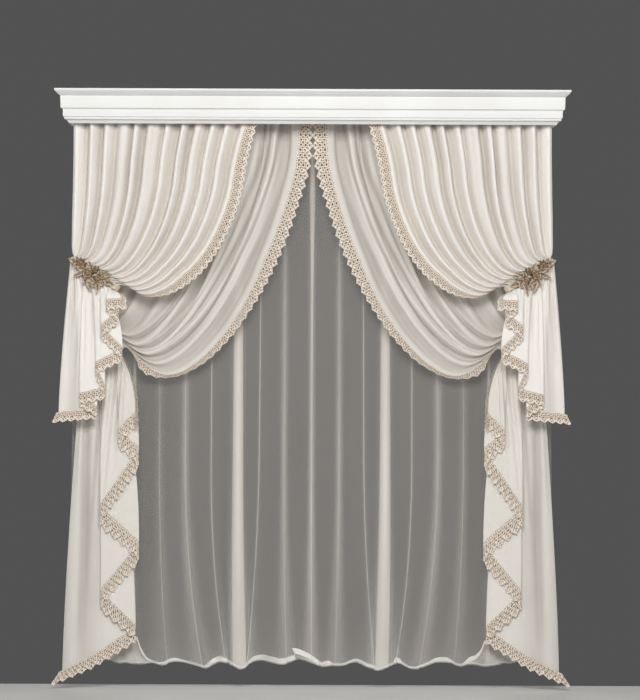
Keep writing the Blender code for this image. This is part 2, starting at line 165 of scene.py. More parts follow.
# flat sizes that the cloth was cut to
FRONT_FLAT = (1.25, 1.45)
FRONT_CUT = 1.40        # area once the hem is cut on the slant
BACK_FLAT = (1.30, 2.65)
BACK_CUT = 2.60
NET_FLAT = (3.00, 2.60)
FRONT_LACE = 0.052      # width of each lace
BACK_LACE = 0.066

# pleats of the net: places at the heading, the knee and the hem, three widths, how close its
# threads lie beside the fold, and how far that reaches
NET_PLEATS = (
    # heading, knee, hem, width, below, at hem, close, reach
    (0.000, 0.000, 0.004, 0.004, 0.026, 0.004, 0.40, 0.012),
    (0.122, 0.126, 0.110, 0.002, 0.002, 0.003, 0.30, 0.014),
    (0.227, 0.243, 0.290, 0.005, 0.005, 0.005, 0.10, 0.010),
    (0.331, 0.335, 0.322, 0.010, 0.030, 0.062, 0.57, 0.020),
    (0.450, 0.458, 0.385, 0.005, 0.005, 0.005, 0.10, 0.010),
    (0.567, 0.576, 0.490, 0.002, 0.002, 0.003, 0.28, 0.017),
    (0.688, 0.690, 0.650, 0.002, 0.002, 0.003, 0.16, 0.016),
    (0.800, 0.805, 0.805, 0.010, 0.012, 0.016, 0.10, 0.010),
    (0.910, 0.925, 0.925, 0.010, 0.012, 0.016, 0.10, 0.010),
    (1.015, 1.035, 1.035, 0.010, 0.012, 0.014, 0.10, 0.010),
)
# the cloth of one net pleat, point by point: across it in half widths, depth in layers
NET_TURNS = (
    (-1.0, -1.0), (0.0, -1.0), (1.0, -0.9), (1.0, -0.2), (0.0, 0.0),
    (-1.0, 0.2), (-1.0, 0.9), (0.0, 1.0), (1.0, 1.0),
)
NET_LAYER = 0.0035      # depth between two layers of a pleat
NET_EDGE = (1.072, 1.098)               # outer edge at the heading and at the hem
# hem of the net, x across and z: the middle, and what is the same on both sides of it
HEM_MIDDLE = (
    (-0.411, -2.584), (-0.349, -2.597), (-0.318, -2.622), (-0.262, -2.579), (-0.219, -2.573),
    (-0.131, -2.601), (-0.056, -2.567), (0.056, -2.601), (0.143, -2.598), (0.206, -2.575),
    (0.305, -2.624), (0.394, -2.586),
)
HEM_SIDE = (
    (0.473, -2.615), (0.574, -2.583), (0.624, -2.578), (0.674, -2.601), (0.712, -2.586),
    (0.770, -2.597), (0.800, -2.597), (0.860, -2.590), (0.980, -2.570), (1.100, -2.585),
)
# last rows of the net before the hem turns up, as shares of its drop
HEM_ABOVE = 0.984
HEM_ROWS = (0.9945, 0.9955, 1.0)
# rows of the turned hem: lift and depth, then lift and spread at its one turned-up corner, and
# how far its threads close up where it hangs loose
HEM_CURL = (
    (0.0012, 0.0010, 0.026, 0.0, 0.0),
    (0.008, 0.0014, 0.028, 0.0, 1.0),
    (0.0165, 0.0014, 0.054, 0.0165, 1.0),
)
# that corner is a little left of the middle: x across, and how far it is turned up
HEM_CORNER = ((-0.070, -0.067, 0.050), (0.0, 1.0, 0.0))
# behind the tail of each back drape the hem is drawn up: d, and by how much
DRAWN_UP = 0.100
HEM_DRAWN = ((0.700, 0.745, 0.772, 0.788, 1.040, 1.085), (0.0, 0.016, 0.050, DRAWN_UP, DRAWN_UP, 0.0))

# single folds of the back drape: shares of the width at the heading
# and at the tie, depth back, width
BACK_FOLDS = (
    (0.935, 0.800, 0.011, 0.007), (0.918, 0.770, -0.009, 0.009), (0.895, 0.735, 0.010, 0.006),
    (0.965, 0.860, -0.006, 0.012), (0.860, 0.700, 0.008, 0.006), (0.840, 0.670, -0.006, 0.008),
    (0.780, 0.600, 0.009, 0.007), (0.760, 0.560, -0.007, 0.009),
)
# valleys of the tails: distance out and height at both ends, depth, width
FRONT_VALLEYS = (
    (1.022, -0.900, 1.027, -1.300, 0.010, 0.007), (0.988, -0.900, 0.980, -1.240, 0.010, 0.006),
    (0.962, -0.910, 0.950, -1.180, 0.009, 0.006), (1.052, -0.900, 1.066, -1.340, 0.008, 0.008),
)
BACK_VALLEYS = (
    (0.880, -1.200, 0.946, -1.880, 0.013, 0.007), (0.860, -1.200, 0.893, -1.760, 0.012, 0.006),
    (0.904, -1.260, 0.950, -1.760, 0.012, 0.006), (0.842, -1.230, 0.866, -1.640, 0.010, 0.005),
    (0.935, -1.260, 1.000, -2.000, 0.012, 0.010), (1.010, -1.700, 1.045, -2.620, 0.012, 0.022),
)

# how much of each lace strip shows, at shares of the way from the heading down to the tie
FRONT_TUCK = ((0.0, 0.72, 0.83, 0.90, 1.0), (1.0, 1.0, 0.50, 0.15, 0.3))
BACK_TUCK = ((0.0, 0.45, 0.60, 0.74, 0.82, 0.86, 0.91, 1.0), (1.0, 1.0, 0.65, 0.45, 0.15, 0.15, 0.6, 0.9))
TUCK_BACK = 0.016       # the lace stands this much further back where it is tucked under
FRONT_TIP = 0.012       # the lace runs out this far beyond the last of the cloth at the hem
BACK_TIP = 0.016
# the edges of the two back laces lap at the heading, one before and one behind the other
LAP = 0.004             # how far each stands off
LAP_LOW = 0.42          # depth below the top where the lap ends
LAP_FADE = 0.12         # it grows to the full lap over this height
LAP_NEAR = 0.05         # only edges nearer the middle than this lap

# holes of one repeat of the lace in millimetres: along, out from the seam, half sizes
FILLED_AS_SHADE = 4.3            # holes no longer than twice this are left uncut and painted dark, a painted shade where they would show
FRONT_HOLES = (
    (4.5, 4.5, 2.6, 1.6), (13.5, 4.5, 2.6, 1.6), (22.5, 4.5, 2.6, 1.6), (31.5, 4.5, 2.6, 1.6),
    (0.0, 12.0, 3.8, 2.8), (18.0, 12.0, 3.8, 2.8), (9.0, 11.5, 2.1, 2.1), (27.0, 11.5, 2.1, 2.1),
    (9.0, 19.5, 3.4, 3.2), (27.0, 19.5, 3.4, 3.2), (0.0, 20.0, 2.1, 2.4), (18.0, 20.0, 2.1, 2.4),
    (18.0, 28.0, 4.4, 3.0), (0.0, 28.0, 3.4, 2.9), (9.5, 27.0, 1.9, 2.2), (26.5, 27.0, 1.9, 2.2),
    (11.0, 34.5, 3.0, 2.5), (25.0, 34.5, 3.0, 2.5), (18.0, 42.0, 3.8, 2.3),
)
BACK_HOLES = (
    (5.9, 5.0, 3.2, 1.9), (17.6, 5.0, 3.2, 1.9), (29.4, 5.0, 3.2, 1.9), (41.1, 5.0, 3.2, 1.9),
    (0.0, 13.5, 4.5, 3.3), (23.5, 13.5, 4.5, 3.3), (11.75, 13.0, 2.5, 2.5), (35.25, 13.0, 2.5, 2.5),
    (11.75, 22.5, 4.2, 3.9), (35.25, 22.5, 4.2, 3.9), (0.0, 22.5, 2.4, 2.6), (23.5, 22.5, 2.4, 2.6),
    (0.0, 31.5, 4.2, 3.3), (23.5, 32.0, 4.6, 3.5), (12.5, 31.5, 2.3, 2.5), (34.5, 31.5, 2.3, 2.5),
    (12.5, 40.0, 3.9, 3.3), (34.5, 40.0, 3.9, 3.3), (23.5, 40.5, 2.3, 2.3), (23.5, 48.5, 4.4, 2.9),
    (7.0, 45.5, 2.6, 2.2), (40.0, 45.5, 2.6, 2.2), (18.0, 56.0, 2.7, 2.1), (29.0, 56.0, 2.7, 2.1),
)

# two smaller leaves stand beside each leaf: turned aside by, size, lift
SIDE_LEAVES = ((38.0, 0.76, 0.0012), (-52.0, 0.60, 0.0026))


def lerp(first, last, k):
    """The value a share k of the way from first to last."""
    return first + (last - first) * k


def held(values):
    """The values, held between 0 and 1."""
    return np.clip(values, 0.0, 1.0)


def curve(knots, at, values):
    """Smooth curve through the values at the knots."""
    slope = np.gradient(values, knots, axis=0)
    i = np.clip(np.searchsorted(knots, at, side="right") - 1, 0, len(knots) - 2)
    step = (knots[i + 1] - knots[i])[:, None]
    t = (at - knots[i])[:, None] / step
    return ((2 * t ** 3 - 3 * t ** 2 + 1) * values[i] + (t ** 3 - 2 * t ** 2 + t) * step * slope[i]
            + (3 * t ** 2 - 2 * t ** 3) * values[i + 1] + (t ** 3 - t ** 2) * step * slope[i + 1])


def soften(values, reach):
    """Round off the corners of a line of values, reach steps to each side."""
    window = np.hanning(2 * reach + 3)[1:-1]
    window /= window.sum()
    padded = np.concatenate([np.full(reach, values[0]), values, np.full(reach, values[-1])])
    return np.convolve(padded, window, mode="valid")


def uneven(seed, count, low, high, at):
    """A smooth line that wanders between two values, one turn for each of count steps."""
    knots = np.random.default_rng(seed).uniform(low, high, count + 3)
    where = np.linspace(0.0, 1.0, count + 3)
    return curve(where, held(at), knots[:, None])[:, 0]


def deselect():
    """Object mode, with nothing selected."""
    if bpy.context.object and bpy.context.object.mode != 'OBJECT':
        bpy.ops.object.mode_set(mode='OBJECT')
    bpy.ops.object.select_all(action='DESELECT')


def pick(obj):
    """Only this piece selected and active."""
    deselect()
    obj.select_set(True)
    bpy.context.view_layer.objects.active = obj


def edit(obj):
    """Open one piece in edit mode."""
    pick(obj)
    bpy.ops.object.mode_set(mode='EDIT')


def select_faces(obj, faces):
    """Edit mode with only these faces selected."""
    edit(obj)
    bpy.ops.mesh.select_mode(type='FACE')
    bpy.ops.mesh.select_all(action='DESELECT')
    bpy.ops.object.mode_set(mode='OBJECT')
    obj.data.polygons.foreach_set("select", faces)
    bpy.ops.object.mode_set(mode='EDIT')


def smooth(obj, angle=60.0):
    """Smooth shading, with edges sharper than the angle in degrees kept hard."""
    pick(obj)
    bpy.ops.object.shade_smooth_by_angle(angle=math.radians(angle))


def on_grid(items, what):
    """Where the vertices or faces of a fresh grid lie on it, 0 to 1 both ways."""
    flat = np.empty(len(items) * 3)
    items.foreach_get(what, flat)
    return flat.reshape(-1, 3)[:, :2] + 0.5


def lay_uv(mesh, flat):
    """The UV map, from the place of every vertex on the flat cloth in metres."""
    corner = np.empty(len(mesh.loops), dtype=int)
    mesh.loops.foreach_get("vertex_index", corner)
    mesh.uv_layers[0].data.foreach_set("uv", flat[corner].ravel())


def mark(mesh, name, values):
    """A value at every vertex for the finish to read."""
    mesh.attributes.new(name, 'FLOAT', 'POINT').data.foreach_set("value", values)


def hang(name, points, size, closeness_and_shade_map=None):
    """A flat grid of cloth laid over rows of points, with its UV map in metres of flat cloth.

    The last argument holds a value 0 to 1 at every point: how close the threads lie, and the painted shade
    and highlight that the finish reads from it."""
    rows, columns = points.shape[0] - 1, points.shape[1] - 1
    deselect()
    bpy.ops.mesh.primitive_grid_add(x_subdivisions=columns, y_subdivisions=rows, size=1.0)
    obj = bpy.context.object
    obj.name = obj.data.name = name
    flat = on_grid(obj.data.vertices, "co")
    column = np.rint(flat[:, 0] * columns).astype(int)
    row = np.rint(flat[:, 1] * rows).astype(int)
    obj.data.vertices.foreach_set("co", points[row, column].ravel())
    lay_uv(obj.data, flat * size)
    # stored for the finish: how close the threads lie, and painted shade and highlight
    if closeness_and_shade_map is not None:
        mark(obj.data, "closeness_and_painted_shade", closeness_and_shade_map[row, column])
    obj.data.update()
    smooth(obj, 180.0)
    return obj


def pleat_share(column):
    """Crests and valleys are wide, the flanks between them steep."""
    return (column // 4 + (0.0, 0.32, 0.50, 0.82)[column % 4])


def fold_shape(turn):
    """Depth of one pleat, 1 at its crest: a broad crest, a narrow valley, steeper outside."""
    turn = (turn + 0.22) % 1.0
    rise = held(turn / 0.44)
    fall = held((turn - 0.44) / 0.56)
    wave = np.where(turn < 0.44, -np.cos(math.pi * rise), np.cos(math.pi * fall))
    return 1.0 - 2.0 * ((1.0 - wave) / 2.0) ** 1.15


def drape(rows, hem, run, slant, seed, calm, tuck, up, down):
    """Rows of points for one drape, and the outer points of its lace, outer side first.

    calm is how shallow the shallowest pleat is, as a share of a full one. Where the lace rolls
    under, by tuck, the cloth itself reaches down in its place."""
    count = hem[-1][0]
    whole = np.arange(count + 1)
    index = np.linspace(0.0, count, count * FINE + 1)
    share = np.interp(index, whole, [pleat_share(i) for i in whole]) / pleat_share(count)
    turn = share * pleat_share(count) + uneven(seed + 5, 14, -0.16, 0.16, share) * np.sin(math.pi * share)
    wave = soften(fold_shape(turn), 5)
    high = wave * uneven(seed, count // 4, calm, 1.12, share)
    wave = wave * uneven(seed + 9, count // 3, calm, 1.12, share)
    table = np.array(rows)
    table[:, 6] *= DEEPER
    outer, edge, lace = table[:, 0:2], table[:, 2:4], table[:, 4:6]
    waist = edge[-1] - outer[-1]
    along = waist / np.linalg.norm(waist)
    flow = np.array([-along[1], along[0]])
    grid, trim = [], []
    last = len(rows) - 1
    for k in list(range(last)) + [last, last]:
        near = k / last
        shift = np.zeros(2)
        if k == last:
            shift = flow * TIE_HALF * PAST_TIE * (-1.0 if len(grid) == last else 1.0)
        points = outer[k] + share[:, None] * (edge[k] - outer[k]) + shift
        pleat = lerp(high, wave, near)
        depth = run + slant * near * (0.5 - share) * 2.0 - table[k, 6] * pleat
        tilt = 0.008 * pleat * (1.0 - near) * held((1.0 - share) * 12.0)
        grid.append(np.column_stack([points[:, 0] + tilt, depth, points[:, 1]]))
        trim.append((lace[k, 0] + shift[0], depth[-1] - 0.001 * near, lace[k, 1] + shift[1]))
    grid, trim = np.array(grid), np.array(trim)
    step = np.linalg.norm(np.diff(grid[:, -1], axis=0), axis=1)
    knots = np.concatenate([[0.0], np.cumsum(step)]) / step.sum()
    at = np.linspace(0.0, 1.0, up)
    upper = curve(knots, at, grid.reshape(len(grid), -1)).reshape(up, -1, 3)
    trim = curve(knots, at, trim)
    rolled = (1.0 - np.interp(at, *tuck)) * held((1.0 - at) / 0.08) * 0.9
    spread = (rolled[:, None] * (trim - upper[:, -1]))[:, None, :] * (1.0, 0.0, 1.0)
    upper = upper + share[None, :, None] ** 2 * spread
    fold = np.array(hem)
    end = [soften(np.interp(index, fold[:, 0], fold[:, c]), FINE) for c in (1, 2, 3, 4, 5)]
    end, end_lace = np.column_stack(end[:3]), np.column_stack([end[3], end[1], end[4]])
    start = upper[-1]
    lead = held((share - 0.10) / 0.25)
    flat = start[:, 1] + table[-1, 6] * wave
    tail, cuts = [], np.linspace(0.0, 1.0, down + 1)[1:]
    for cut in cuts:
        quick = 1.0 - (1.0 - cut) ** 2.2
        inner = held((index - 7.0) / 4.0)
        fade = (1.0 - cut) * np.maximum(1.0 - cut * 3.0 * inner, 0.38)
        drift = 0.003 * wave * cut * held(9.0 - index)
        tail.append(np.column_stack([
            lerp(start[:, 0], end[:, 0], lerp(1.0 - (1.0 - cut) ** 1.35, quick, lead)),
            lerp(flat, end[:, 1], quick) - table[-1, 6] * wave * fade - drift,
            lerp(start[:, 2], end[:, 2], cut)]))
    return np.concatenate([upper, np.array(tail)]), trim, end_lace, cuts


def creases(grid, tie, seed, depths, pulls, folds=()):
    """Fine folds: at the heading, out from the tie, and faint ones down the whole length."""
    rows, columns = grid.shape[:2]
    across = np.linspace(0.0, 1.0, columns)
    out = grid.copy()
    gathers = uneven(seed, pulls * 2, -1.0, 1.0, across)
    pulled = uneven(seed + 1, pulls, -1.0, 1.0, across)
    soft = uneven(seed + 2, pulls // 2, -1.0, 1.0, across)
    for k in range(rows):
        down = k / (rows - 1.0)
        top = math.exp(-down / 0.10)
        waist = math.exp(-((down - tie) / (0.10 if down < tie else 0.20)) ** 2)
        pull = depths[1] * (1.0 if down < tie else 1.8)
        out[k, :, 1] += depths[0] * top * gathers + pull * waist * pulled + depths[2] * soft
        for first, last, back, wide in folds:
            line = lerp(first, last, min(1.0, down / tie))
            fade = held((tie - down) / 0.15)
            out[k, :, 1] += back * fade * np.exp(-((across - line) / wide) ** 2)
    return out


def pinch(grid, tail, valleys):
    """Narrow valleys in the gathered tail, each from one place below the tie to another."""
    out = grid.copy()
    low = out[-tail:]
    for first_d, first_z, last_d, last_z, back, wide in valleys:
        down = (first_z - low[:, :, 2]) / (first_z - last_z)
        line = lerp(first_d, last_d, down)
        fade = held(np.minimum(down * 6.0, (1.0 - down) * 2.0))
        low[:, :, 1] += back * fade * np.exp(-((low[:, :, 0] - line) / wide) ** 2)
    return out


def painted_fold_shade(grid, reach, height, tail):
    """Painted shade of the folds, 0 to 1 at every point: 0 in a valley, 1 on a crest.

    How far each point stands out from the cloth beside it sets the value, and the finish paints the valleys
    darker and each crest paler. The outer edge above the tie and the gathers below it are painted paler,
    the lone outer layer of the tail darker; the value also makes the cloth more opaque."""
    # depth of the cloth around each point: standing out from it is painted pale, sinking into a valley
    # painted dark
    level = np.array([soften(row, reach) for row in grid[:, :, 1]])
    index = np.arange(grid.shape[1]) / FINE
    below = held((np.arange(len(grid)) - len(grid) + tail) / 12.0)[:, None]
    # painted highlight: the outer edge above the tie is painted paler
    edge = 0.62 * held(1.0 - index / 3.5)
    # painted highlight: the gathered layers of the tail are painted paler
    gathered_tail_highlight = 0.28 * held((index - 4.5) / 2.0)
    # painted shade: the lone outer layer of the tail is painted darker
    outer_panel_shade = 0.10 * np.exp(-((index - 3.4) / 1.2) ** 2)
    lift = lerp(edge, gathered_tail_highlight - outer_panel_shade + 0.08, below)
    return held(0.5 - (grid[:, :, 1] - level) / height + lift)


def edging_lines(grid, trim, end_lace, cuts, turn, tuck):
    """Inner and outer line of a lace strip: leading edge, corner, then out along the hem.

    tuck is how much of the strip shows on the way down to the tie, where the edge rolls under."""
    side = np.array(turn)
    corner, across = grid[-1, -1], grid[-1, -2 - FINE]
    drop = end_lace[-1] - corner
    lines = []
    for k, p in enumerate(trim):
        out = np.interp(k / (len(trim) - 1.0), *tuck)
        lines.append((grid[k, -1], p + np.array([0.0, TUCK_BACK * (1.0 - out), 0.0])))
    for k, cut in enumerate(cuts[:-1]):
        spread = np.interp(cut, (0.0, 0.18, 0.42, 0.70), (0.25, 0.5, 0.75, 1.0))
        edge = grid[len(trim) + k, -1]
        lines.append((edge, edge + side * spread))
    lines.append((corner, corner + side + drop))
    turned = corner + (across - corner) * 0.5
    lines.append((turned, turned + drop))
    for i in range(len(end_lace) - 2 - FINE, -1, -1):
        low = np.array([end_lace[i, 0], grid[-1, i, 1], end_lace[i, 2]])
        lines.append((grid[-1, i], low))
    return np.array([a for a, b in lines]), np.array([b for a, b in lines])


def place(points, side):
    """Distances out from the middle become X on one side."""
    moved = np.array(points)
    moved[..., 0] *= side
    return moved


def lap(line, side):
    """The lower line of a lace, moved where the left back lace laps over the right one."""
    line = np.array(line)
    near = held((line[:, 2] + LAP_LOW) / LAP_FADE) * (line[:, 0] < LAP_NEAR)
    line[:, 1] += side * LAP * near
    return line


def near_hole(u, v, holes, pitch, width):
    """Least distance to the rim of any hole of one repeat, in hole sizes, 1 on the rim."""
    best = np.full(u.shape, 9.0)
    long, wide = u * pitch * 1000.0, v * width * 1000.0
    long = long + 1.3 * np.sin(0.37 * wide + 0.071 * long) + 0.8 * np.sin(0.173 * long)
    wide = wide + 1.1 * np.sin(0.113 * long + 0.9) + 0.7 * np.sin(0.29 * long)
    for along, across, half_along, half_across in holes:
        away = ((long - along) / (pitch * 1000.0) + 0.5) % 1.0 - 0.5
        best = np.minimum(best, np.hypot(away * pitch * 1000.0 / half_along, (wide - across) / half_across))
    return best


def lace(name, inner, outer, width, pitch, cells, deep, holes, scallop, side):
    """Guipure strip: drawn flat with its holes and scallops, then hung between two lines."""
    step = np.linalg.norm(np.diff(outer, axis=0), axis=1)
    walk = np.concatenate([[0.0], np.cumsum(step)])
    repeats = int(round(walk[-1] / pitch))
    deselect()
    bpy.ops.mesh.primitive_grid_add(x_subdivisions=repeats * cells, y_subdivisions=deep, size=1.0)
    obj = bpy.context.object
    obj.name = obj.data.name = name
    mesh = obj.data
    middle = on_grid(mesh.polygons, "center")
    u, v = middle[:, 0] * repeats, middle[:, 1]
    # smaller holes stay as cloth, which the finish paints dark, a painted shade
    open_holes = [hole for hole in holes if hole[2] > FILLED_AS_SHADE]
    cut = (near_hole(u, v, open_holes, pitch, width) < 1.0) | (v > scallop(u))
    select_faces(obj, cut)
    bpy.ops.mesh.delete(type='FACE')
    bpy.ops.mesh.select_mode(type='EDGE')
    bpy.ops.mesh.select_all(action='DESELECT')
    bpy.ops.mesh.select_non_manifold()
    bpy.ops.mesh.vertices_smooth(factor=0.5, repeat=2)
    bpy.ops.object.mode_set(mode='OBJECT')
    flat = held(on_grid(mesh.vertices, "co"))
    u, v = flat[:, 0] * repeats, flat[:, 1]
    at = flat[:, 0] * walk[-1]
    first = np.column_stack([np.interp(at, walk, inner[:, c]) for c in range(3)])
    last = np.column_stack([np.interp(at, walk, outer[:, c]) for c in range(3)])
    rim = near_hole(u, v, holes, pitch, width)
    # cords stand forward; the same value paints the hole rims and the uncut holes dark, a painted shade
    raised_and_painted_shade = held((rim - 1.0) / 0.35) + np.exp(-((scallop(u) - v - 0.02) / 0.03) ** 2)
    raised_and_painted_shade = held(raised_and_painted_shade)
    hung = lerp(first, last, (v * 1.04 - 0.04)[:, None])
    hung[:, 1] -= 0.0006 + 0.0009 * raised_and_painted_shade
    mesh.vertices.foreach_set("co", place(hung, side).ravel())
    mark(mesh, "raised_and_painted_shade", raised_and_painted_shade)
    lay_uv(mesh, np.column_stack([at, v * width]))
    mesh.update()
    smooth(obj, 180.0)
    return obj, walk[-1]


def net_points():
    """Net panel: at every pleat the cloth doubles back on itself in three layers.

    The second table is how close the threads lie at every point, 0 for flat net."""
    lines = []
    for sign, pleats in ((-1.0, NET_PLEATS[:0:-1]), (1.0, NET_PLEATS)):
        for top_d, knee_d, hem_d, top_w, mid_w, hem_w, glow, spread in pleats:
            for reach, layer in NET_TURNS:
                lines.append((sign * top_d, sign * knee_d, sign * hem_d, reach * top_w / 2,
                              reach * mid_w / 2, reach * hem_w / 2, layer * NET_LAYER, glow, spread))
    edges = [(s * NET_EDGE[0], s * NET_EDGE[1], s * NET_EDGE[1], 0, 0, 0, 0, 0, 0.01) for s in (-1.0, 1.0)]
    table = np.array([edges[0]] + lines + [edges[1]])
    parts = np.where(np.abs(np.diff(table[:, 0] + table[:, 3])) > 0.03, 14, 3)
    at = np.concatenate([[0.0]] + [i + np.arange(1, n + 1) / n for i, n in enumerate(parts)])
    values = [np.interp(at, np.arange(len(table)), table[:, c]) for c in range(7)]
    top_x, knee_x, hem_x, top_w, mid_w, hem_w, layer = values
    share = (top_x - top_x[0]) / (top_x[-1] - top_x[0])
    swell = uneven(6, 46, -0.009, 0.009, share)
    sag = uneven(7, 60, -0.004, 0.004, share)
    fine = uneven(8, 140, -0.0035, 0.0035, share)
    folds = [(s * p[0], s * p[1], s * p[2], p[6], p[7]) for s in (-1.0, 1.0) for p in NET_PLEATS[1:]]
    folds.append((0.0, 0.0, 0.0) + NET_PLEATS[0][6:8])
    hem_line = np.array([(-x, z) for x, z in HEM_SIDE[::-1]] + list(HEM_MIDDLE + HEM_SIDE))
    rows, closeness_and_shade_map = [], []
    for k in np.concatenate([np.linspace(0.0, HEM_ABOVE, NET_STEPS), HEM_ROWS]):
        width = np.interp(k, (0.0, 0.17, 1.0), (0, 1, 2))
        below = max(width - 1.0, 0.0)
        below = np.where(np.abs(mid_w) > 3.0 * np.abs(hem_w), 1.0 - (1.0 - below) ** 6, below)
        fold = lerp(lerp(top_w, mid_w, min(width, 1.0)), hem_w, below)
        bend = held((k - 0.62) / 0.38) ** 2.2
        x = soften(lerp(lerp(top_x, knee_x, k), hem_x, bend) + fold, 1)
        y = NET_RUN + NET_BEHIND + soften(layer, 1) + swell * k + fine * (1.0 - k) ** 2
        hem_z = soften(np.interp(x, hem_line[:, 0], hem_line[:, 1]), 2) + sag
        rows.append(np.column_stack([x, y, lerp(np.full(len(x), HEADING), hem_z, k)]))
        dense = np.zeros(len(x))
        for top_d, knee_d, hem_d, glow, spread in folds:
            line = lerp(lerp(top_d, knee_d, k), hem_d, bend)
            strength = glow * (0.35 + 0.65 * min(1.0, k * 1.6)) * (1.0 - 0.45 * bend)
            dense += strength * np.exp(-((x - line) / (spread * (1.0 + 2.0 * bend))) ** 2)
        closeness_and_shade_map.append(dense + (0.34 if k > 0.995 else 0.0) + 0.10 * math.exp(-(1.0 - k) / 0.03))
    curl = np.array(rows[-1])
    deep = uneven(9, 50, 0.40, 1.80, share)
    shine = uneven(10, 70, 0.15, 1.0, share)
    closeness_and_shade_map[-1] = closeness_and_shade_map[-1] + 0.6 * shine
    edge = closeness_and_shade_map[-1]
    corner = np.interp(curl[:, 0], *HEM_CORNER)
    drawn = np.interp(np.abs(curl[:, 0]), *HEM_DRAWN)
    loose = held(np.maximum(corner, drawn / DRAWN_UP) * 6.0)
    for lift, back, reach, spread, shown in HEM_CURL:
        high = lift * deep * (1.0 - corner) + corner * (reach + spread * (1.0 - corner)) + drawn
        lean = -0.50 * corner ** 2 * high
        rows.append(curl + np.column_stack([lean, back - 0.010 * corner, high]))
        closeness_and_shade_map.append(lerp(edge, 0.05 + shown * 0.85, loose))
    return np.array(rows), held(np.array(closeness_and_shade_map))


def tie_front(d, z):
    """Depth of the flat front of a front tie, at a distance out from the middle and a height."""
    first = np.array(FRONT_ROWS[-1][0:2])
    span = np.array(FRONT_ROWS[-1][4:6]) - first
    k = np.dot(np.array((d, z)) - first, span) / np.dot(span, span)
    return FRONT_RUN + FRONT_SLANT * (1.0 - 2.0 * k) - TIE_DEPTH * TIE_FLAT - TIE_THICK / 2.0


def tie_band(name, rows, run, slant, extra, side):
    """A ribbon loop round the gathered cloth, ruched along its length."""
    first = np.array((rows[-1][0], run + slant, rows[-1][1]))
    last = np.array((rows[-1][4], run - slant, rows[-1][5]))
    middle = (first + last) / 2.0
    span = last - first
    length = np.linalg.norm(span)
    along = span / length
    forward = np.cross(along, np.cross((0.0, -1.0, 0.0), along))
    forward /= np.linalg.norm(forward)
    flow = np.cross(along, forward)
    half = length / 2.0 + extra
    turn = np.linspace(0.0, math.tau, 145)
    reach = np.sign(np.cos(turn)) * (half - TIE_DEPTH) + TIE_DEPTH * np.cos(turn)
    ruche = 0.0007 * np.sin(turn * 31.0) + 0.0004 * np.sin(turn * 53.0 + 1.0)
    grid = []
    for up in np.linspace(-1.0, 1.0, 9):
        swell = TIE_DEPTH + 0.0006 * (1.0 - up * up) + ruche * (0.4 + 0.6 * abs(up))
        grid.append(middle + along * reach[:, None] + forward * (swell * np.sin(turn))[:, None]
                    + flow * TIE_HALF * up)
    return hang(name, place(np.array(grid), side), (2.0 * length, 2.0 * TIE_HALF))


def join(name, parts):
    """Several parts made one piece."""
    deselect()
    for obj in parts:
        obj.select_set(True)
    bpy.context.view_layer.objects.active = parts[0]
    bpy.ops.object.join()
    obj = bpy.context.object
    obj.name = obj.data.name = name
    return obj


def thicken(obj, thickness):
    """Give thin silk its thickness, to both sides."""
    pick(obj)
    mod = obj.modifiers.new("Thickness", 'SOLIDIFY')
    mod.thickness = thickness
    mod.offset = 0.0
    bpy.ops.object.modifier_apply(modifier=mod.name)
    smooth(obj, 70.0)
    return obj


def petal(width, length, curl):
    """Points of one petal: root at the origin, tip along Y, hollow towards +Z."""
    count = PETAL_STEPS + 1
    along, across = np.meshgrid(np.linspace(0.0, 1.0, count), np.linspace(-1.0, 1.0, count), indexing="ij")
    wide = width / 2.0 * np.sin(math.pi * held(0.12 + 0.80 * along)) ** 0.7
    x = across * wide
    y = length * (along - 0.10 * across ** 2 * along)
    z = PETAL_CUP * (across ** 2) * np.sin(math.pi * along) + curl * along ** 2
    z += 0.0008 * np.sin(across * 7.0 + along * 3.0) * along
    return np.stack([x, y, z], axis=-1)


def turned(points, spin, tilt):
    """Lean a petal up by tilt, then spin it round the flower's axis."""
    c, s = math.cos(tilt), math.sin(tilt)
    x = points[..., 0]
    y = points[..., 1] * c - points[..., 2] * s
    z = points[..., 1] * s + points[..., 2] * c
    c, s = math.cos(spin), math.sin(spin)
    return np.stack([x * c - y * s, x * s + y * c, z], axis=-1)


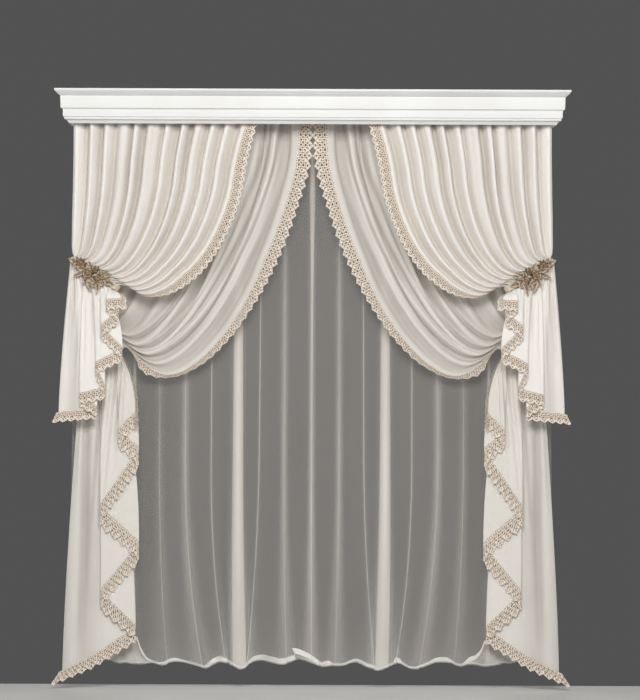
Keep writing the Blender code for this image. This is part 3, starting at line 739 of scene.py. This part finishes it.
def rosette(name, d, z, radius, side, seed):
    """Flower head: a dark rolled heart in rings of curled petals, the outer ones pointed."""
    rng = np.random.default_rng(seed)
    parts = []
    back = tie_front(d, z) - 0.0024
    rings = (
        # petals, from the middle, length, width, lean, height
        (7, 0.45, 1.08, 0.46, 0.12, 0.0002),
        (6, 0.22, 0.86, 0.78, 0.30, 0.0012),
        (5, 0.12, 0.66, 0.66, 0.75, 0.0025),
        (4, 0.04, 0.46, 0.46, 1.20, 0.0035),
    )
    for count, start, long, wide, lean, height in rings:
        for n in range(count):
            spin = math.tau * n / count + rng.uniform(-0.25, 0.25) + count
            stretch = rng.uniform(0.85, 1.15)
            curl = PETAL_CURL if lean < 1.0 else 0.0
            shape = petal(radius * wide * PETAL_FULL, radius * long * stretch, curl)
            shape = turned(shape, 0.0, lean + rng.uniform(-0.12, 0.12))
            shape[..., 1] += radius * start
            shape = turned(shape, spin, 0.0)
            x, up, out = shape[..., 0] + d, shape[..., 1] + z, shape[..., 2] + height
            points = np.stack([side * x, back - np.clip(out, 0.0, FLOWER_DEPTH), up], axis=-1)
            # painted shade: the lower the petal lies, the darker it is painted
            parts.append(hang("petal", points, (0.012, 0.012), held(shape[..., 2] / 0.009)))
    head = join(name, parts)
    thicken(head, PETAL_THICK)
    deselect()
    bpy.ops.mesh.primitive_uv_sphere_add(segments=12, ring_count=8, radius=radius * 0.20)
    heart = bpy.context.object
    for vert in heart.data.vertices:
        swirl = 1.0 + 0.16 * math.sin(5.0 * math.atan2(vert.co.y, vert.co.x) + vert.co.z * 900.0)
        x, y, out = vert.co.x * swirl, vert.co.y * swirl, vert.co.z * 1.1 + 0.0055
        vert.co = (side * (d + x), back - max(out, 0.0), z + y)
    mend(heart)
    return join(name, [head, heart])


def mend(obj):
    """Turn every face of a closed piece outward."""
    edit(obj)
    bpy.ops.mesh.select_all(action='SELECT')
    bpy.ops.mesh.normals_make_consistent(inside=False)
    bpy.ops.object.mode_set(mode='OBJECT')
    smooth(obj)


def blade(d, z, length, width, turn, side, seed, lift):
    """One leaf with a pressed midrib, side veins and a notched edge, its tip curled forward."""
    rng = np.random.default_rng(seed)
    along, across = np.meshgrid(np.linspace(0.0, 1.0, 19), np.linspace(-1.0, 1.0, 13), indexing="ij")
    wide = width / 2.0 * np.sin(math.pi * along ** 0.8) ** 0.8
    wide = wide * (1.0 + 0.09 * np.abs(across) * np.sin(along * 40.0)) + 0.0004
    x, y = (along - 0.5) * length, across * wide
    rise = 0.0034 * np.abs(across) * np.sin(math.pi * along) - 0.0010 * np.exp(-(across / 0.12) ** 2)
    rise += 0.0006 * np.sin((along * 7.0 - np.abs(across) * 1.2) * math.tau) * np.abs(across)
    rise += rng.uniform(0.3, 1.0) * 0.002 * np.sin(along * 5.0 + seed) * across
    swing = math.radians(turn)
    out, up = d + x * math.cos(swing) - y * math.sin(swing), z + x * math.sin(swing) + y * math.cos(swing)
    curl = 0.008 * held(along - 0.5) * 2.0 + lift
    front = np.vectorize(tie_front)(out, up)
    points = np.stack([side * out, front - 0.0012 - curl - np.clip(rise, -0.0006, 0.006), up], axis=-1)
    # painted shade: darker down the sunken middle, paler toward the edges and the tip
    return hang("blade", points, (width, length), held(np.abs(across) * 0.7 + 0.3 * along))


def leaf(name, d, z, length, width, turn, side, seed):
    """A leaf, with two smaller ones beside it on the same stalk."""
    blades = [blade(d, z, length * 1.22, width, turn, side, seed, 0.0)]
    swing = math.radians(turn)
    root_d, root_z = d - 0.5 * length * math.cos(swing), z - 0.5 * length * math.sin(swing)
    way = 1.0 if seed % 2 else -1.0
    for n, (aside, size, lift) in enumerate(SIDE_LEAVES, 1):
        aside = turn + way * aside
        swing = math.radians(aside)
        reach = 0.5 * size * length
        spot = (root_d + reach * math.cos(swing), root_z + reach * math.sin(swing))
        blades.append(blade(*spot, length * size, width * 0.85, aside, side, seed + 20 * n, lift))
    return thicken(join(name, blades), LEAF_THICK)


def linear(code):
    """A colour socket's value from an sRGB hex colour."""
    parts = [int(code[i:i + 2], 16) / 255.0 for i in (1, 3, 5)]
    return [p / 12.92 if p <= 0.04045 else ((p + 0.055) / 1.055) ** 2.4 for p in parts] + [1.0]


def add(tree, kind, settings=(), stops=(), out=0, **sockets):
    """Add one node: its settings, its colour stops, then a value or link for each socket.

    A socket goes by its name, with _ for a space, or by _ and its number. One output comes back."""
    node = tree.nodes.new("ShaderNode" + kind)
    for key, value in dict(settings).items():
        setattr(node, key, value)
    if stops:
        line = node.color_ramp.elements
        for end, (at, code) in zip(line, (stops[0], stops[-1])):
            end.position = at
            end.color = linear(code)
        for at, code in stops[1:-1]:
            line.new(at).color = linear(code)
    for key, value in sockets.items():
        socket = node.inputs[int(key[1:])] if key[1:].isdigit() else node.inputs[key.replace("_", " ")]
        if isinstance(value, bpy.types.NodeSocket):
            tree.links.new(value, socket)
        else:
            socket.default_value = value
    return node.outputs[out] if len(node.outputs) else None


def finish_tree(name):
    """An empty material and its tree."""
    mat = bpy.data.materials.new(name)
    mat.use_nodes = True
    mat.node_tree.nodes.clear()
    return mat, mat.node_tree


def voile(name, light, shade, deep, alpha, dense):
    """Plain-woven polyester, sheer and matt: slubs run with the length, and a faint square weave.

    The same value makes the cloth more opaque where its threads lie close together, and paints it paler on
    each crest, a painted highlight, and darker in the valleys, a painted shade."""
    mat, tree = finish_tree(name)
    uv = add(tree, "UVMap")
    # slubs about 7 mm wide and 200 mm long, on shading 200 mm across
    long = add(tree, "Mapping", Vector=uv, Scale=(140.0, 5.0, 1.0))
    slub = add(tree, "TexNoise", Vector=long, Scale=1.0, Detail=4.0, Roughness=0.6)
    wide = add(tree, "Mapping", Vector=uv, Scale=(5.0, 2.2, 1.0))
    cloud = add(tree, "TexNoise", Vector=wide, Scale=1.0, Detail=3.0, Roughness=0.5)
    closeness_and_painted_shade = add(tree, "Attribute", dict(attribute_name="closeness_and_painted_shade"), out="Fac")
    both = add(tree, "Math", dict(operation='MULTIPLY_ADD'), _0=slub, _1=0.30, _2=cloud)
    tone = add(tree, "Math", dict(operation='MULTIPLY_ADD'), _0=both, _1=0.50, _2=closeness_and_painted_shade)
    # painted shade in the folds (deep) through painted highlight on the crests (light)
    stops = ((0.25, deep), (0.75, shade), (1.0, light))
    colour = add(tree, "ValToRGB", stops=stops, Fac=tone)
    # threads about 3 mm apart, coarser than the real 0.3 mm, so that the weave shows
    across = add(tree, "Mapping", Vector=uv, Scale=(320.0, 16.0, 1.0))
    along = add(tree, "Mapping", Vector=uv, Scale=(16.0, 320.0, 1.0))
    warp = add(tree, "TexNoise", Vector=across, Scale=1.0, Detail=1.0)
    weft = add(tree, "TexNoise", Vector=along, Scale=1.0, Detail=1.0)
    weave = add(tree, "Math", dict(operation='ADD'), _0=warp, _1=weft)
    cloth = add(tree, "Bump", Strength=0.12, Distance=0.0006, Height=weave)
    # wrinkles about 28 mm wide and 200 mm long
    crease = add(tree, "Mapping", Vector=uv, Scale=(36.0, 5.0, 1.0))
    wrinkle = add(tree, "TexNoise", Vector=crease, Scale=1.0, Detail=5.0, Roughness=0.55)
    worn = add(tree, "Bump", Strength=0.35, Distance=0.004, Height=wrinkle, Normal=cloth)
    cover = add(tree, "MapRange", Value=closeness_and_painted_shade, To_Min=alpha, To_Max=dense)
    shader = add(tree, "BsdfPrincipled", Base_Color=colour, Roughness=0.85, Alpha=cover,
                 Normal=worn, Sheen_Weight=0.02, Sheen_Roughness=0.4)
    add(tree, "OutputMaterial", dict(is_active_output=True), Surface=shader)
    return mat


def guipure(name):
    """Cotton guipure: pale cords over a dark ground, the dark a painted shade at the hole rims and over the
    uncut holes; matt, with a fine thread grain.
    """
    mat, tree = finish_tree(name)
    # painted shade: 0 at the hole rims and over the uncut holes, 1 on the cords
    raised_and_painted_shade = add(tree, "Attribute", dict(attribute_name="raised_and_painted_shade"), out="Fac")
    uv = add(tree, "UVMap")
    # grain of about 1 mm and stitches 1.5 mm apart, coarser than the real thread, so that they show
    fine = add(tree, "TexNoise", Vector=uv, Scale=900.0, Detail=3.0, Roughness=0.6)
    mixed = add(tree, "Math", dict(operation='MULTIPLY_ADD'), _0=fine, _1=0.5, _2=raised_and_painted_shade)
    # the dark end is painted shade in and round the holes
    stops = ((0.20, "#84694f"), (0.50, "#b29a83"), (0.80, "#d5c1ac"), (1.0, "#f1e6d7"))
    colour = add(tree, "ValToRGB", stops=stops, Fac=mixed)
    stitch = add(tree, "TexWave", dict(bands_direction='DIAGONAL'), Vector=uv, Scale=420.0,
                 Distortion=3.0, Detail=2.0, out="Fac")
    bump = add(tree, "Bump", Strength=0.5, Distance=0.0006, Height=stitch)
    shader = add(tree, "BsdfPrincipled", Base_Color=colour, Roughness=0.8, Normal=bump,
                 Sheen_Weight=0.2)
    add(tree, "OutputMaterial", dict(is_active_output=True), Surface=shader)
    return mat


def paint(name):
    """White eggshell paint on moulded plaster: faint brush streaks and settled dust."""
    mat, tree = finish_tree(name)
    place_at = add(tree, "TexCoord", out="Object")
    # brush streaks about 110 mm long and 6 mm wide, dust in patches of 330 mm
    run = add(tree, "Mapping", Vector=place_at, Scale=(9.0, 160.0, 160.0))
    brush = add(tree, "TexNoise", Vector=run, Scale=1.0, Detail=4.0, Roughness=0.6)
    blotch = add(tree, "TexNoise", Vector=place_at, Scale=3.0, Detail=3.0)
    stops = ((0.30, "#e8e7e3"), (0.70, "#f1f1ee"))
    colour = add(tree, "ValToRGB", stops=stops, Fac=blotch)
    gloss = add(tree, "MapRange", Value=brush, To_Min=0.42, To_Max=0.56)
    bump = add(tree, "Bump", Strength=0.12, Distance=0.0006, Height=brush)
    shader = add(tree, "BsdfPrincipled", Base_Color=colour, Roughness=gloss, Normal=bump)
    add(tree, "OutputMaterial", dict(is_active_output=True), Surface=shader)
    return mat


def silk(name, dark, middle, light, scale):
    """Dyed silk petals and leaves, with painted shade: darker where they lie low in the hollows, paler
    where they stand up along the edges.
    """
    mat, tree = finish_tree(name)
    place_at = add(tree, "TexCoord", out="Object")
    # painted shade: how far the point stands up, darker where it lies low
    edge = add(tree, "Attribute", dict(attribute_name="closeness_and_painted_shade"), out="Fac")
    blotch = add(tree, "TexNoise", Vector=place_at, Scale=scale, Detail=4.0, Roughness=0.65)
    fibre = add(tree, "TexNoise", Vector=place_at, Scale=scale * 12.0, Detail=2.0)
    mixed = add(tree, "Math", dict(operation='MULTIPLY_ADD'), _0=edge, _1=0.55, _2=blotch)
    stops = ((0.44, dark), (0.76, middle), (1.0, light))
    colour = add(tree, "ValToRGB", stops=stops, Fac=mixed)
    bump = add(tree, "Bump", Strength=0.4, Distance=0.0008, Height=fibre)
    shader = add(tree, "BsdfPrincipled", Base_Color=colour, Roughness=0.62, Normal=bump,
                 Sheen_Weight=0.2)
    add(tree, "OutputMaterial", dict(is_active_output=True), Surface=shader)
    return mat


def satin(name, dark, light):
    """Satin ribbon: a soft sheen with ribs across the band."""
    mat, tree = finish_tree(name)
    uv = add(tree, "UVMap")
    # ribs 2 mm apart, coarser than the real weave, so that they show
    rib = add(tree, "TexWave", dict(bands_direction='X'), Vector=uv, Scale=160.0,
              Distortion=1.0, Detail=1.0, out="Fac")
    stops = ((0.10, dark), (0.90, light))
    colour = add(tree, "ValToRGB", stops=stops, Fac=rib)
    bump = add(tree, "Bump", Strength=0.3, Distance=0.0005, Height=rib)
    shader = add(tree, "BsdfPrincipled", Base_Color=colour, Roughness=0.42, Normal=bump,
                 Sheen_Weight=0.3)
    add(tree, "OutputMaterial", dict(is_active_output=True), Surface=shader)
    return mat


def wear(obj, mat):
    """One finish all over the piece."""
    obj.data.materials.clear()
    obj.data.materials.append(mat)
    return obj


def round_scallop(u):
    """Lower edge of the narrow lace: a rounded scallop with small bites."""
    away = np.abs((u + 0.5) % 1.0 - 0.5) * 2.0
    return 0.79 + 0.21 * held(away) ** 0.75 - 0.025 * np.cos(u * math.tau * 5.0)


def pointed_scallop(u):
    """Lower edge of the wide lace: pointed scallops with small bites."""
    away = np.abs((u + 0.5) % 1.0 - 0.5) * 2.0
    return 0.75 + 0.23 * away - 0.02 * np.cos(u * math.tau * 6.0)


def own(obj, mat, slot, *nodes):
    """A finished piece: its material, what it stands for and what carries it."""
    wear(obj, mat)
    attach(obj, "root")
    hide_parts(*nodes)
    return obj


# name, colour on the crests (painted highlight), on the flat and in the folds (painted shade), cover of
# single and of gathered cloth
ivory = voile("polyester_voile_ivory", "#faf5ef", "#e6dfd6", "#c8c0b6", 0.84, 0.98)
cream = voile("polyester_voile_cream", "#f3eee6", "#e0d9d0", "#c0b9b0", 0.62, 0.92)
net_cloth = voile("polyester_net_white", "#fbf8f3", "#f2ece5", "#e9e1d8", 0.185, 0.97)
lace_thread = guipure("cotton_guipure_ecru")
plaster = paint("eggshell_paint_on_plaster")
# name, colour in the hollows (painted shade), on the face and along the edge (painted highlight), blotches
# in a metre
umber = silk("dyed_silk_umber", "#301d0e", "#86674b", "#cfb396", 130.0)
fawn = silk("dyed_silk_fawn", "#3f2e1f", "#98836a", "#dccdb5", 110.0)
fawn_satin = satin("satin_ribbon_fawn", "#b9a98f", "#d8cab3")
cream_satin = satin("satin_ribbon_cream", "#cfc4b4", "#e8dfd2")

for node in ("track_board", "pelmet_front", "pelmet_return_left", "pelmet_return_right"):
    for slot_place in bpy.data.objects[node].material_slots:
        slot_place.material = plaster

net_grid, net_close = net_points()
net = own(hang("net", net_grid, NET_FLAT, net_close), net_cloth, "net", "net_panel")

# tables and places of the drape, seed of its pleats, the shallowest of them, tuck, rows of cloth
front, front_trim, front_low, front_cuts = drape(
    FRONT_ROWS, FRONT_HEM, FRONT_RUN, FRONT_SLANT, 11, 0.55, FRONT_TUCK, UPPER_STEPS, FRONT_TAIL)
back, back_trim, back_low, back_cuts = drape(
    BACK_ROWS, BACK_HEM, BACK_RUN, BACK_SLANT, 31, 0.35, BACK_TUCK, UPPER_STEPS, BACK_TAIL)
# beside the tail the lace stands off its edge by this much across, in depth and up
front_line = edging_lines(front, front_trim, front_low, front_cuts, (-0.026, -0.006, -0.010), FRONT_TUCK)
back_line = edging_lines(back, back_trim, back_low, back_cuts, (-0.018, -0.052, 0.0), BACK_TUCK)
# share of the rows above the tie, seed, depths at the heading, at the tie and all over, how many
# folds the tie pulls, and the single ones
front = creases(front, 0.62, 3, (0.0040, 0.0028, 0.0030), 44)
back = creases(back, 0.545, 7, (0.0050, 0.0040, 0.0040), 48, BACK_FOLDS)
front = pinch(front, FRONT_TAIL, FRONT_VALLEYS)
back = pinch(back, BACK_TAIL, BACK_VALLEYS)
# painted shade of the folds: dark in the valleys, pale on the crests
front_light = painted_fold_shade(front, 10, 0.022, FRONT_TAIL)
back_light = painted_fold_shade(back, 10, 0.022, BACK_TAIL)
# the lace runs out to its tip beyond the last of the cloth
for line, reach in ((front_line, FRONT_TIP), (back_line, BACK_TIP)):
    for edge in line:
        edge[-1] += np.array([reach, 0.0, -0.4 * reach])

DRAPES = (
    # name, cloth, painted shade of its folds, flat size, flat area, finish, slot
    ("front_drape", front, front_light, FRONT_FLAT, FRONT_CUT, ivory, "ivory_voile"),
    ("back_drape", back, back_light, BACK_FLAT, BACK_CUT, cream, "cream_voile"),
)
LACES = (
    # name, lines, width, length of a repeat, steps along it, steps across, holes, edge
    ("front_lace", front_line, FRONT_LACE, 0.036, 24, 32, FRONT_HOLES, round_scallop),
    ("back_lace", back_line, BACK_LACE, 0.047, 26, 34, BACK_HOLES, pointed_scallop),
)
for label, side in (("left", -1.0), ("right", 1.0)):
    for name, cloth, light, size, cut, mat, slot_name in DRAPES:
        node = name + "_" + label
        piece = own(hang(node + "_cloth", place(cloth, side), size, light), mat, slot_name, node)
    for name, (inner, outer), width, pitch, cells, deep, holes, scallop in LACES:
        node = name + "_" + label
        trim, length = lace(node + "_strip", inner, lap(outer, side), width, pitch, cells, deep,
                            holes, scallop, side)
        own(trim, lace_thread, "ecru_lace", node)
        size = (length, width)
    band = tie_band("front_tie_" + label + "_ribbon", FRONT_ROWS, FRONT_RUN, FRONT_SLANT,
                    FRONT_TIE_EXTRA, side)
    own(band, fawn_satin, "fawn_ribbon", "front_tie_" + label)
    for n, (d, z, radius) in enumerate(ROSETTES, 1):
        node = f"rosette_{n}_{label}"
        flower = rosette(node + "_flower", d, z, radius, side, 10 + n)
        own(flower, umber, "umber_petal", node)
    for n, (d, z, length, width, turn) in enumerate(LEAVES, 1):
        node = f"leaf_{n}_{label}"
        sprig = leaf(node + "_blade", d, z, length, width, turn, side, n)
        own(sprig, fawn, "fawn_petal", node)
    band = tie_band("back_tie_" + label + "_ribbon", BACK_ROWS, BACK_RUN, BACK_SLANT,
                    BACK_TIE_EXTRA, side)
    own(band, cream_satin, "cream_ribbon", "back_tie_" + label)

# pale floor just below the tips of the lace
FLOOR_WIDE = 6.0
FLOOR_DEEP = 2.8
FLOOR_MIDDLE = -1.1     # y of its middle, in front of the drapes
FLOOR_Z = -2.702
deselect()
bpy.ops.mesh.primitive_plane_add(size=1.0, location=(0.0, 0.0, 0.0))
floor = bpy.context.object
floor.name = "studio_floor"
for vert in floor.data.vertices:
    vert.co = (vert.co.x * FLOOR_WIDE, FLOOR_MIDDLE + vert.co.y * FLOOR_DEEP, FLOOR_Z)
mat, tree = finish_tree("floor_paint")
shader = add(tree, "BsdfPrincipled", Base_Color=linear("#d9d8d5"), Roughness=0.8)
add(tree, "OutputMaterial", dict(is_active_output=True), Surface=shader)
wear(floor, mat)


def area_light(name, power, size, at, aim):
    """A soft light at one place, turned to face another."""
    deselect()
    bpy.ops.object.light_add(type='AREA', location=at)
    lamp = bpy.context.object
    lamp.name = name
    lamp.data.energy = power
    lamp.data.shape = 'RECTANGLE'
    lamp.data.size, lamp.data.size_y = size
    way = np.array(aim) - np.array(at)
    tilt = math.atan2(math.hypot(way[0], way[1]), -way[2])
    lamp.rotation_euler = (tilt, 0.0, math.atan2(way[0], -way[1]) + math.pi)


area_light("key_centre", 300.0, (3.0, 2.0), (0.0, -6.0, 1.6), (0.0, 0.0, -1.3))
area_light("side_left", 48.0, (2.2, 3.0), (-4.4, -4.2, -0.4), (0.0, 0.0, -1.4))
area_light("side_right", 48.0, (2.2, 3.0), (4.4, -4.2, -0.4), (0.0, 0.0, -1.4))
area_light("back_fill", 60.0, (3.0, 3.0), (0.0, 5.0, 0.0), (0.0, 0.0, -1.3))

world = bpy.data.worlds.new("studio")
world.use_nodes = True
world.node_tree.nodes["Background"].inputs["Color"].default_value = linear("#525252")
world.node_tree.nodes["Background"].inputs["Strength"].default_value = 1.0
bpy.context.scene.world = world
bpy.context.scene.view_settings.view_transform = 'Standard'

# long lens at mid height, a hair off level
SENSOR_TALL = 32.0
AWAY = 17.95            # from the lens to the front of the drapes
VIEW_TALL = 3.15        # height of the picture there
deselect()
bpy.ops.object.camera_add(location=(0.0365, -18.0, -1.1655), rotation=(math.pi / 2.0, -0.004, 0.0))
camera = bpy.context.object
camera.data.sensor_fit = 'VERTICAL'
camera.data.sensor_height = SENSOR_TALL
camera.data.lens = SENSOR_TALL * AWAY / VIEW_TALL
camera.data.clip_end = 60.0
bpy.context.scene.camera = camera
